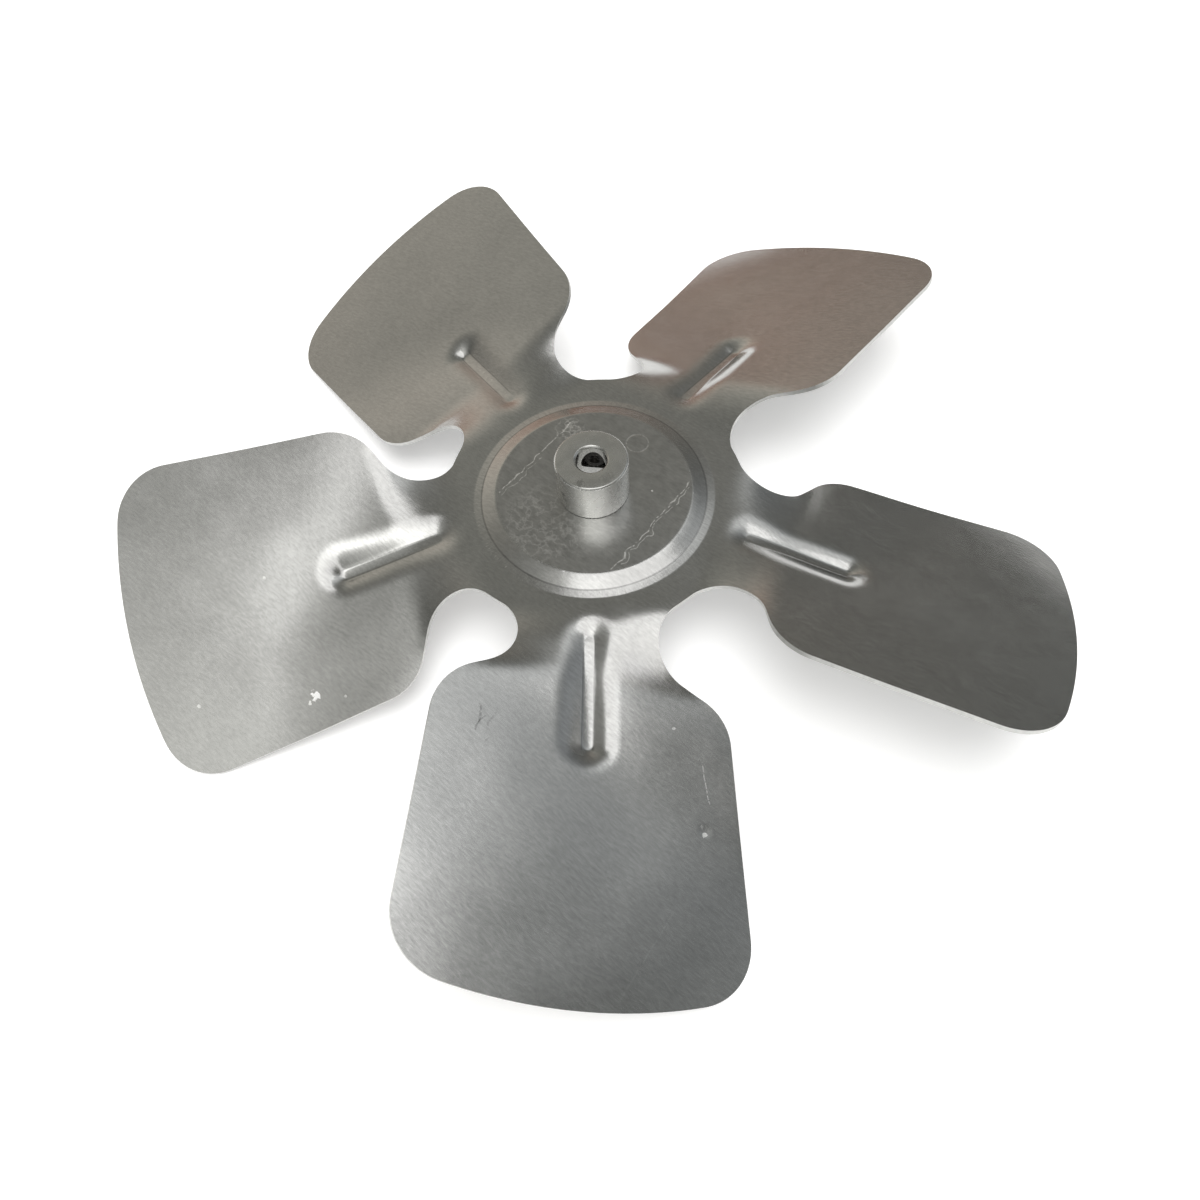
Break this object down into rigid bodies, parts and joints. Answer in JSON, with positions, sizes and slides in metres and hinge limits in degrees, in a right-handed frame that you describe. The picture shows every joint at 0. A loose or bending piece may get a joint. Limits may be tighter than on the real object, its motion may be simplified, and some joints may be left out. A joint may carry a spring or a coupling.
{
  "type": "axial fan impeller",
  "caption": "Pressed aluminium axial fan impeller with pitched paddle blades, a raised centre disc and a turned hub boss bored for a motor shaft.",
  "frame": {"origin": "on the shaft axis, level with the upper face of the flat web that the blades grow from", "axes": "+Z along the shaft axis, out of the boss; the rib of one blade points along -Y"},
  "size_m": [0.2515, 0.244, 0.0389],
  "materials": {
    "sheet_aluminium": "satin mill-finished sheet, lightly stained and scratched",
    "turned_aluminium": "turned, satin, with fine tool marks",
    "screw_steel": "dark oiled steel"
  },
  "bodies": {
    "root": {"blade_spider": "sheet_aluminium", "hub_boss": "turned_aluminium", "set_screw": "screw_steel"}
  },
  "joints": []
}
